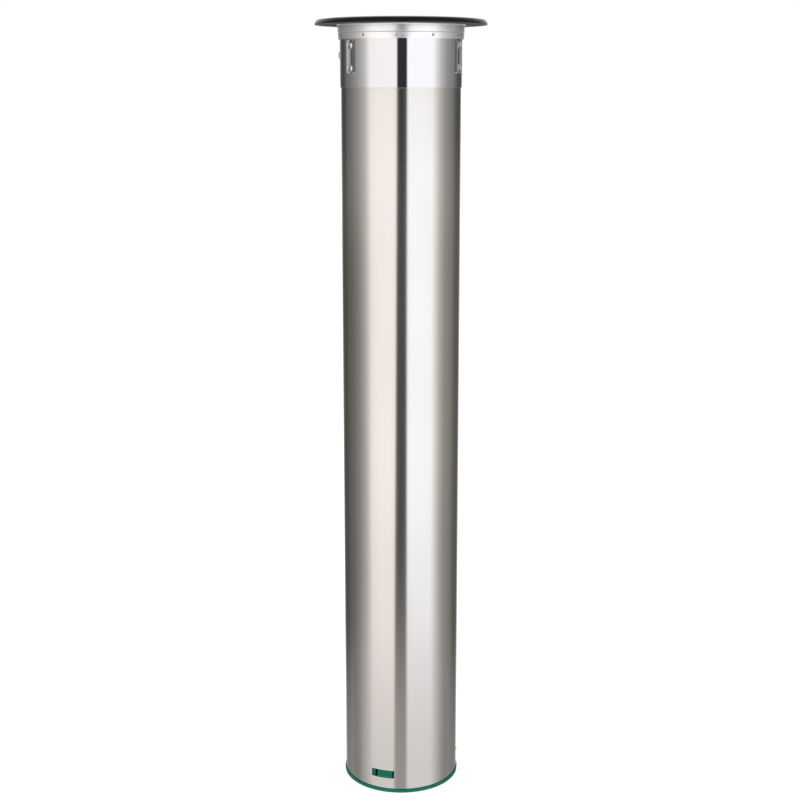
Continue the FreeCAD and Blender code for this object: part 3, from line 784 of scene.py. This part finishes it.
def stake_dimples(mesh):
    """Presses the row of dimples into the ring's wall."""
    centres = [math.radians(DIMPLE_PHASE + i * 360 / DIMPLE_COUNT) for i in range(DIMPLE_COUNT)]
    least = RING_WALL - RING_FOOT_STEP - RING_WALL_MARGIN
    normals = [list(n.vector) for n in mesh.corner_normals]
    slopes = {}
    for vertex in mesh.vertices:
        x, y, z = vertex.co
        radius = math.hypot(x, y)
        if abs(z - DIMPLE_Z) > DIMPLE_RADIUS or radius < least:
            continue
        angle = math.atan2(x, -y)
        for centre in centres:
            across = ((angle - centre + math.pi) % (2 * math.pi) - math.pi) * radius
            away = math.hypot(across, z - DIMPLE_Z)
            if away < DIMPLE_RADIUS:
                wave = math.pi * away / DIMPLE_RADIUS
                depth = DIMPLE_DEPTH * (0.5 + 0.5 * math.cos(wave))
                slope = DIMPLE_DEPTH * 0.5 * math.pi / DIMPLE_RADIUS * math.sin(wave)
                vertex.co.x *= (radius - depth) / radius
                vertex.co.y *= (radius - depth) / radius
                share = slope / away if away > NEARLY_NOTHING else 0.0
                slopes[vertex.index] = (across * share, (z - DIMPLE_Z) * share, angle)
    for loop in mesh.loops:
        if loop.vertex_index in slopes:
            across, up, angle = slopes[loop.vertex_index]
            normals[loop.index][0] -= across * math.cos(angle)
            normals[loop.index][1] -= across * math.sin(angle)
            normals[loop.index][2] -= up
    mesh.normals_split_custom_set([Vector(n).normalized() for n in normals])


def level_arc_middle(crest, end):
    """Middle point of the arc that leaves the crest level and drops to the end."""
    run, drop = end[0] - crest[0], crest[1] - end[1]
    radius = (run ** 2 + drop ** 2) / (2 * drop)
    half = run / 2
    return crest[0] + half, crest[1] - radius + math.sqrt(radius ** 2 - half ** 2)


def trim_flange():
    """Black flange with a bevelled rim and a low crown."""
    inner, outer, bottom, top = reach("trim_flange")
    gasket = reach("cup_gasket")
    ring_top = reach("neck_ring")[3]
    shoulder = (outer - TRIM_BEVEL[0], top - TRIM_BEVEL[1])
    bulge = (
        (outer + shoulder[0]) / 2 + TRIM_BEVEL_BULGE[0],
        (bottom + shoulder[1]) / 2 + TRIM_BEVEL_BULGE[1],
    )
    crest = (gasket[1], top)
    mouth = (inner, gasket[3] + TRIM_MOUTH_RISE)
    hidden = RIM_RADIUS + TRIM_RIM_GAP
    bend = TRIM_EDGE * QUARTER_MIDDLE
    piece = revolve("trim_moulding", outline(
        (hidden, bottom),
        (outer - TRIM_EDGE, bottom),
        ((outer - bend, bottom + bend), (outer, bottom + TRIM_EDGE)),
        (bulge, shoulder),
        (level_arc_middle(crest, shoulder), crest),
        (level_arc_middle(crest, mouth), mouth),
        (inner, gasket[3]),
        (gasket[1], gasket[3]),
        (gasket[1], ring_top),
        (hidden, ring_top),
    ), SHEET_COLUMNS)
    dress(piece, "trim_plastic", "housing", "trim_flange")
    # Painted reflection: faces that look down get a lighter grey, dull copy of the black plastic
    piece.data.materials.append(moulded(
        "trim_underside_painted_reflection", (0.125, 0.125, 0.127), (0.145, 0.145, 0.147), 0.9,
        pore_scale=900.0, depth=0.02 * MM, Specular_IOR_Level=0.1
    ))
    for face in piece.data.polygons:
        if face.normal.z < LOOKING_DOWN:
            face.material_index = 1
    return piece


def cup_gasket():
    """Rubber ring with fingers that lean in and down, parted by round-ended slits."""
    inner, outer, bottom, top = reach("cup_gasket")
    lower = top - GASKET_THICK
    tip_top = bottom + GASKET_THICK
    tip = FINGER_TIP_ROUND
    foremost = (inner, tip_top - FINGER_TIP_DROP)
    under = (inner + tip * FINGER_TIP_SETBACK, bottom + FINGER_TIP_FOOT)
    piece = revolve("gasket_fingers", outline(
        (outer, lower),
        (outer, top),
        (FINGER_ROOT, top),
        (inner + tip, tip_top + tip * FINGER_TIP_SLOPE),
        (foremost, under),
        (FINGER_ROOT, lower),
    ))
    length = FINGER_ROOT - inner + OVERRUN
    middle = inner - 2 * OVERRUN + length / 2
    slot = rounded_rectangle(FINGER_SLIT, length, FINGER_SLIT * FINGER_SLIT_ROUND)
    loop = [(x, y + middle) for x, y in slot]
    cutters = []
    for i in range(FINGER_COUNT):
        slit = prism("slit", loop, FINGER_CUT_HEIGHT)
        turn = 180 + (i + 0.5) * 360 / FINGER_COUNT
        slit.matrix_world = Matrix.Translation((0, 0, bottom - 3 * OVERRUN)) @ upright(turn)
        cutters.append(slit)
    bpy.context.view_layer.update()
    cut(piece, *cutters)
    smooth_by_angle(piece)
    return dress(piece, "gasket_rubber", "housing", "cup_gasket")


def channel_strip(name, node):
    """Outside strip: its back follows the collar, its face is a channel with rivet seats."""
    bottom, top = reach(node)[2:]
    rivet_low, rivet_high = (box.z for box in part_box("hanger_rivets"))
    collar_radius = reach("collar")[1]
    middle = (bottom + top) / 2
    height = top - bottom
    deep = collar_radius - OVERRUN
    strip = prism(name, rounded_rectangle(STRIP_WIDTH, height, STRIP_CORNER), STRIP_EDGE - deep)
    strip.data.transform(Matrix.Translation((0, 0, deep)))
    floor_half = STRIP_CHANNEL / 2
    slope = (STRIP_EDGE - STRIP_FACE) / (STRIP_WIDTH / 2 - floor_half)
    wide = STRIP_WIDTH / 2 + OVERRUN
    rim = STRIP_EDGE + slope * OVERRUN
    channel = prism("channel", [
        (-wide, rim), (-floor_half, STRIP_FACE), (floor_half, STRIP_FACE),
        (wide, rim), (wide, rim + OVERRUN), (-wide, rim + OVERRUN),
    ], height + 2 * OVERRUN)
    back_circle = circle_points(collar_radius + FIT_GAP, COLLAR_BACK_COLUMNS)
    back = prism("back", back_circle, height + 2 * OVERRUN)
    to_top = Matrix.Translation((0, height / 2 + OVERRUN, 0))
    lengthwise = to_top @ Matrix.Rotation(math.pi / 2, 4, "X")
    channel.matrix_world = lengthwise
    back.matrix_world = lengthwise
    cutters = [channel, back]
    for z in (rivet_low + RIVET_HEAD, rivet_high - RIVET_HEAD):
        seat = prism("seat", circle_points(RIVET_HEAD + FIT_GAP, SMALL_COLUMNS), 2 * OVERRUN)
        seat.matrix_world = Matrix.Translation((0, z - middle, STRIP_FACE))
        cutters.append(seat)
    bpy.context.view_layer.update()
    cut(strip, *cutters)
    soften(strip, STRIP_SOFTENING, segments=2, angle=40.0)
    strip.matrix_world = standing(bearing(node), middle)
    return strip


def hanger_strips():
    """The three riveted strips."""
    for k in THIRDS:
        node = f"hanger_strip_{k}"
        dress(channel_strip(f"strip_{k}", node), "strip_steel", "housing", node)


def dome(middle, rim, top):
    """Arc of a low dome, as an outline's step: its half-way point and its crown."""
    height = top - rim[1]
    ball = (rim[0] ** 2 + height ** 2) / (2 * height)
    return (middle, top - ball + math.sqrt(ball ** 2 - middle ** 2)), (0.0, top)


def rivets():
    """Six domed rivets."""
    low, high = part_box("hanger_rivets")
    tail_start, head_top = reach("hanger_rivets")[:2]
    tail_face = tail_start + RIVET_TAIL_HEIGHT - RIVET_TAIL_GAP
    rim = (RIVET_HEAD, STRIP_FACE)
    shape = outline(
        (0.0, tail_start),
        (RIVET_TAIL - RIVET_TAIL_EDGE, tail_start),
        (RIVET_TAIL, tail_start + RIVET_TAIL_EDGE),
        (RIVET_TAIL, tail_face),
        (RIVET_SHANK, tail_face),
        (RIVET_SHANK, STRIP_FACE),
        rim,
        dome(RIVET_HEAD / 2, rim, head_top),
    )
    pieces = []
    for k in THIRDS:
        for z in (low.z + RIVET_HEAD, high.z - RIVET_HEAD):
            rivet = revolve("rivet", shape, SMALL_COLUMNS)
            rivet.matrix_world = standing(bearing(f"hanger_strip_{k}"), z)
            pieces.append(rivet)
    bpy.context.view_layer.update()
    dress(join("rivets", pieces), "rivet_steel", "housing", "hanger_rivets")


def collar_screw():
    """Pan head screw with a cross recess."""
    low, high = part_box("collar_screw")
    angle = bearing("collar_screw")
    end, head_top = depths("collar_screw", angle)
    head_foot = reach("collar")[1]
    rim = (SCREW_HEAD, head_foot)
    piece = revolve("screw", outline(
        (0.0, end),
        (SCREW_SHANK - SCREW_POINT, end),
        (SCREW_SHANK, end + SCREW_POINT),
        (SCREW_SHANK, head_foot),
        rim,
        dome(SCREW_HEAD / 2, rim, head_top),
    ), SCREW_COLUMNS)
    cutters = []
    for turn in (0, 90):
        slot = rounded_rectangle(RECESS_LENGTH, RECESS_WIDTH, RECESS_CORNER)
        bar = prism("recess", slot, 2 * OVERRUN)
        bar.matrix_world = Matrix.Translation((0, 0, head_top - RECESS_DEPTH)) @ upright(turn)
        cutters.append(bar)
    bpy.context.view_layer.update()
    cut(piece, *cutters)
    smooth_by_angle(piece)
    piece.matrix_world = standing(angle, (low.z + high.z) / 2)
    dress(piece, "rivet_steel", "housing", "collar_screw", material=zinc_plate())


# ---- springs -------------------------------------------------------------------------------

def wire(name, points, radius):
    """A round wire along a line of points, with closed ends."""
    sides = WIRE_SIDES
    points = np.array(points)
    along = np.gradient(points, axis=0)
    along /= np.linalg.norm(along, axis=1)[:, None]
    side = np.cross(along[0], WIRE_HINT)
    rings = []
    angles = np.arange(sides) * 2 * math.pi / sides
    for point, direction in zip(points, along):
        side = side - direction * side.dot(direction)
        side /= np.linalg.norm(side)
        other = np.cross(direction, side)
        around = np.outer(np.cos(angles), side) + np.outer(np.sin(angles), other)
        rings.append(point + radius * around)
    verts = np.concatenate(rings)
    faces = []
    for i in range(len(points) - 1):
        for j in range(sides):
            k = (j + 1) % sides
            here, there = i * sides, (i + 1) * sides
            faces.append((here + j, here + k, there + k, there + j))
    last = (len(points) - 1) * sides
    faces.append(tuple(range(sides))[::-1])
    faces.append(tuple(range(last, last + sides)))
    mesh = bpy.data.meshes.new(name)
    mesh.from_pydata(verts.tolist(), [], faces)
    piece = new_object(name, mesh)
    return smooth_by_angle(piece, 60.0)


def end_loop(centre_z, side):
    """Points of a spring's end loop, from the coil outwards, in (x, y, z) about its line."""
    points = []
    for i in range(LOOP_POINTS):
        angle = math.radians(LOOP_START + LOOP_STEP * i)
        z = centre_z + side * LOOP_RADIUS * math.sin(angle)
        points.append((LOOP_RADIUS * math.cos(angle), 0.0, z))
    return points


def spring_points(low, high):
    """The line of a close-wound extension spring with a loop at each end."""
    half_wire = SPRING_WIRE / 2
    loop_top = high - LOOP_RADIUS - half_wire
    loop_foot = low + LOOP_RADIUS + half_wire
    top = loop_top - LOOP_RADIUS
    bottom = loop_foot + LOOP_RADIUS
    mean = SPRING_RADIUS - half_wire
    height = top - bottom
    turns = round(height / SPRING_WIRE)
    coil = []
    for i in range(turns * COIL_COLUMNS + 1):
        angle = 2 * math.pi * i / COIL_COLUMNS
        z = bottom + height * i / (turns * COIL_COLUMNS)
        coil.append((mean * math.cos(angle), mean * math.sin(angle), z))
    return end_loop(loop_foot, -1)[::-1] + coil + end_loop(loop_top, 1)


def springs():
    """Three pusher springs in one fixed shape; in use the coils open as the pusher goes down."""
    for k in THIRDS:
        node = f"pusher_spring_{k}"
        _, outer, low, high = reach(node)
        piece = wire(f"spring_{k}", spring_points(low, high), SPRING_WIRE / 2)
        line = Matrix.Translation((0, SPRING_RADIUS - outer, 0))
        piece.data.transform(upright(bearing(node)) @ line)
        piece.data.materials.append(MATERIALS["spring_wire"])
        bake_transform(piece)
        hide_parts(node)


# ---- stage ---------------------------------------------------------------------------------

def floor():
    """Plain white floor, glowing everywhere but under the base, where that leaves a painted shadow.
    """
    mesh = bpy.data.meshes.new("floor")
    half = FLOOR_HALF
    corners = [(-half, -half, 0), (half, -half, 0), (half, half, 0), (-half, half, 0)]
    mesh.from_pydata(corners, [], [(0, 1, 2, 3)])
    piece = new_object("floor", mesh)
    piece.visible_glossy = False
    finish = Finish("floor_white", Roughness=1.0, Specular_IOR_Level=0.0)
    paper = finish.noise((4.0, 4.0, 4.0))
    finish.drive("Base Color", finish.mix(paper, (0.90, 0.90, 0.90), (0.89, 0.89, 0.89)))
    x, y, _ = finish.parts(finish.place)
    foot = reach("base_cap")[1]
    # Painted shadow: the glow fades out under the base's edge
    unshadowed = finish.between(finish.length(x, y), 0.0, 1.0, foot - FLOOR_GLOW_MARGIN, foot)
    finish.drive("Emission Color", finish.mix(unshadowed, BLACK, WHITE))
    finish.shader.inputs["Emission Strength"].default_value = FLOOR_GLOW
    mesh.materials.append(finish.material)


# The studio's panels round the object: (bearing, (red, green, blue)), at the object's own level
STUDIO = (
    (-180, (0.85, 0.85, 0.85)),
    (-166, (0.85, 0.85, 0.85)),
    (-160, (0.45, 0.45, 0.45)),
    (-155, (0.13, 0.13, 0.13)),
    (-146, (0.085, 0.085, 0.088)),
    (-135, (0.095, 0.094, 0.093)),
    (-125, (0.20, 0.195, 0.19)),
    (-112, (0.27, 0.26, 0.255)),
    (-92, (0.42, 0.405, 0.39)),
    (-74, (0.66, 0.64, 0.62)),
    (-65, (0.95, 0.92, 0.90)),
    (-61, (1.18, 1.14, 1.11)),
    (-8.6, (1.20, 1.15, 1.13)),
    (-6.4, (0.036, 0.036, 0.038)),
    (10.0, (0.032, 0.032, 0.034)),
    (12.2, (1.24, 1.24, 1.25)),
    (62, (1.22, 1.22, 1.23)),
    (70, (0.95, 0.93, 0.91)),
    (80, (0.66, 0.64, 0.62)),
    (95, (0.40, 0.385, 0.37)),
    (112, (0.29, 0.28, 0.27)),
    (119, (0.24, 0.235, 0.23)),
    (125, (0.155, 0.152, 0.15)),
    (135, (0.10, 0.10, 0.10)),
    (150, (0.085, 0.085, 0.085)),
    (155, (0.13, 0.13, 0.13)),
    (160, (0.45, 0.45, 0.45)),
    (166, (0.85, 0.85, 0.85)),
    (180, (0.85, 0.85, 0.85)),
)
# By elevation: how bright the panels are, how far their sides are dimmed, how much of the white
# floor shows in front, and how much light it adds at the far sides
PANEL_GAIN = (
    (-32, 0.55), (-26.1, 0.72), (-23.8, 0.88), (-22.6, 0.94), (-21, 0.965),
    (-19, 0.98), (-15.5, 1.05), (-7, 1.05), (-3, 1.09), (-1, 1.0),
)
SIDE_DIMMING = (
    (-26, 0.35), (-24, 0.45), (-21.5, 0.95), (-7, 1.0), (-5, 0.65),
    (-2.6, 0.45), (0, 0.3), (2, 0.35), (8, 0.35),
)
FLOOR_SHARE = ((-26.2, 0.45), (-24.3, 0.36), (-22.5, 0.20), (-20.7, 0.05), (-18.8, 0.0))
FAR_GLOW = ((-27, 0.16), (-25, 0.11), (-23.5, 0.05), (-22, 0.0))
# The elevations that the tables above are spread over
TABLE_LOW, TABLE_HIGH = -40.0, 10.0
# What full dimming leaves of each side's light, and the bearings that it sets in over
LEFT_SIDE_GAIN, RIGHT_SIDE_GAIN = 0.49, 0.73
LEFT_SIDE, RIGHT_SIDE = (40, 115), (55, 95)
LEFT_PANEL_GAIN = 0.95
# The left panel's near edge leans away as it goes down: degrees of bearing for each degree
LEFT_PANEL_LEAN = 0.24
# The right panel is cooler below the collar, and a haze lies over everything there
RIGHT_PANEL_TINT = (0.97, 1.0, 1.035)
HAZE = (0.057, 0.05, 0.042)
# Where each part of the light sets in and is full, in degrees of bearing or of elevation
LEFT_LEAN_BEARINGS = (-50, -20)
RIGHT_TINT_NEAR, RIGHT_TINT_FAR = (4, 14), (75, 60)
RIGHT_TINT_RISE = (-1, -3)
HAZE_RISE = (-1.5, -5)
FAR_GLOW_BEARINGS = (92, 132)
FLOOR_BEARINGS = (112, 60)
CEILING_RISE = (12, 35)
BACK_WALL_BEARINGS, BACK_WALL_RISE = (118, 150), (1.5, 8)
FLOOR_WHITE = (0.86, 0.84, 0.825)
CEILING = (0.28, 0.28, 0.285)
BACK_WALL = (0.75, 0.75, 0.76)
WHITE = (1.0, 1.0, 1.0)
BLACK = (0.0, 0.0, 0.0)


class Surroundings(NodeTree):
    """The world's nodes: light as a function of direction. Angles are given in degrees."""

    def __init__(self, name):
        world = bpy.data.worlds.new(name)
        bpy.context.scene.world = world
        world.use_nodes = True
        super().__init__(world.node_tree)
        self.nodes.clear()
        x, y, z = self.parts(self.nodes.new("ShaderNodeTexCoord").outputs["Generated"])
        self.bearing = self.math("ARCTAN2", x, self.math("MULTIPLY", y, -1.0))
        self.to_side = self.math("ABSOLUTE", self.bearing)
        self.on_left = self.math("LESS_THAN", self.bearing, 0.0)
        self.rise = self.math("ARCSINE", z)

    def ramp(self, angle, start, end):
        """A number that goes from 0 to 1 as an angle goes from the start to the end."""
        return self.between(angle, 0.0, 1.0, math.radians(start), math.radians(end))

    def table(self, angle, start, end, stops):
        """Looks a colour or a number up by an angle."""
        ramp = self.nodes.new("ShaderNodeValToRGB")
        run = end - start
        share = self.math("MULTIPLY_ADD", angle, math.degrees(1) / run, -start / run)
        self.links.new(share, ramp.inputs["Fac"])
        elements = ramp.color_ramp.elements
        while len(elements) < len(stops):
            elements.new(0.5)
        for element, (place, value) in zip(elements, stops):
            colour = value if isinstance(value, tuple) else (value, value, value)
            element.position = (place - start) / run
            element.color = (*colour, 1.0)
        return ramp.outputs["Color"]

    def by_rise(self, stops):
        """Looks a number up by elevation."""
        return self.table(self.rise, TABLE_LOW, TABLE_HIGH, stops)

    def panels(self):
        """The tall panels, before any dimming."""
        fall = self.math("MAXIMUM", self.math("MULTIPLY", self.rise, -1.0), 0.0)
        near_edge = self.ramp(self.bearing, *LEFT_LEAN_BEARINGS)
        near_edge = self.math("MULTIPLY", near_edge, self.on_left)
        lean = self.math("MULTIPLY", self.math("MULTIPLY", fall, LEFT_PANEL_LEAN), near_edge)
        return self.table(self.math("ADD", self.bearing, lean), -180, 180, STUDIO)

    def side_gain(self):
        """How much of the panels' light each side gives."""
        on_side = self.ramp(self.to_side, *LEFT_SIDE)
        left = self.math("MULTIPLY", on_side, (LEFT_SIDE_GAIN - 1) / LEFT_PANEL_GAIN)
        left = self.math("ADD", left, LEFT_PANEL_GAIN - 1)
        right = self.math("MULTIPLY", self.ramp(self.to_side, *RIGHT_SIDE), RIGHT_SIDE_GAIN - 1)
        extra = self.math("MULTIPLY", self.on_left, self.math("SUBTRACT", left, right))
        change = self.math("ADD", right, extra)
        return self.math("MULTIPLY_ADD", change, self.by_rise(SIDE_DIMMING), 1.0)

    def walls(self):
        """The panels with their dimming and tints, and the floor's light below them."""
        light = self.mix(1.0, self.panels(), self.side_gain(), "MULTIPLY")
        light = self.mix(1.0, light, self.by_rise(PANEL_GAIN), "MULTIPLY")
        near = self.ramp(self.bearing, *RIGHT_TINT_NEAR)
        on_right = self.math("MULTIPLY", near, self.ramp(self.to_side, *RIGHT_TINT_FAR))
        cool = self.math("MULTIPLY", on_right, self.ramp(self.rise, *RIGHT_TINT_RISE))
        light = self.mix(cool, light, self.mix(1.0, light, RIGHT_PANEL_TINT, "MULTIPLY"))
        haze = self.mix(self.ramp(self.rise, *HAZE_RISE), BLACK, HAZE)
        light = self.mix(1.0, light, haze, "ADD")
        far = self.ramp(self.to_side, *FAR_GLOW_BEARINGS)
        light = self.mix(1.0, light, self.math("MULTIPLY", self.by_rise(FAR_GLOW), far), "ADD")
        in_front = self.ramp(self.to_side, *FLOOR_BEARINGS)
        glow = self.math("MULTIPLY", self.by_rise(FLOOR_SHARE), in_front)
        return self.mix(glow, light, FLOOR_WHITE)

    def room(self):
        """The walls, a dim ceiling and a pale wall behind; the camera sees plain white."""
        light = self.mix(self.ramp(self.rise, *CEILING_RISE), self.walls(), CEILING)
        behind = self.ramp(self.to_side, *BACK_WALL_BEARINGS)
        back = self.math("MULTIPLY", behind, self.ramp(self.rise, *BACK_WALL_RISE))
        light = self.mix(back, light, BACK_WALL)
        seen = self.nodes.new("ShaderNodeLightPath").outputs["Is Camera Ray"]
        return self.mix(seen, light, WHITE)


def studio():
    """Soft studio light."""
    world = Surroundings("studio")
    background = world.nodes.new("ShaderNodeBackground")
    world.links.new(world.room(), background.inputs["Color"])
    output = world.nodes.new("ShaderNodeOutputWorld")
    world.links.new(background.outputs["Background"], output.inputs["Surface"])


def camera():
    """The camera at the viewing angle."""
    data = bpy.data.cameras.new("camera")
    data.lens = LENS
    data.sensor_width = SENSOR
    data.shift_x, data.shift_y = CAMERA_SHIFT
    data.clip_start, data.clip_end = CAMERA_NEAR, 2 * FLOOR_HALF
    piece = new_object("camera", data)
    piece.location = CAMERA_PLACE
    piece.rotation_euler = (math.radians(90 - CAMERA_TILT), 0, 0)
    bpy.context.scene.camera = piece


camera()
studio()
floor()
dress_cad_nodes()
tube()
collar()
neck_ring()
trim_flange()
cup_gasket()
hanger_strips()
rivets()
collar_screw()
springs()
bpy.context.scene.view_settings.view_transform = "Standard"
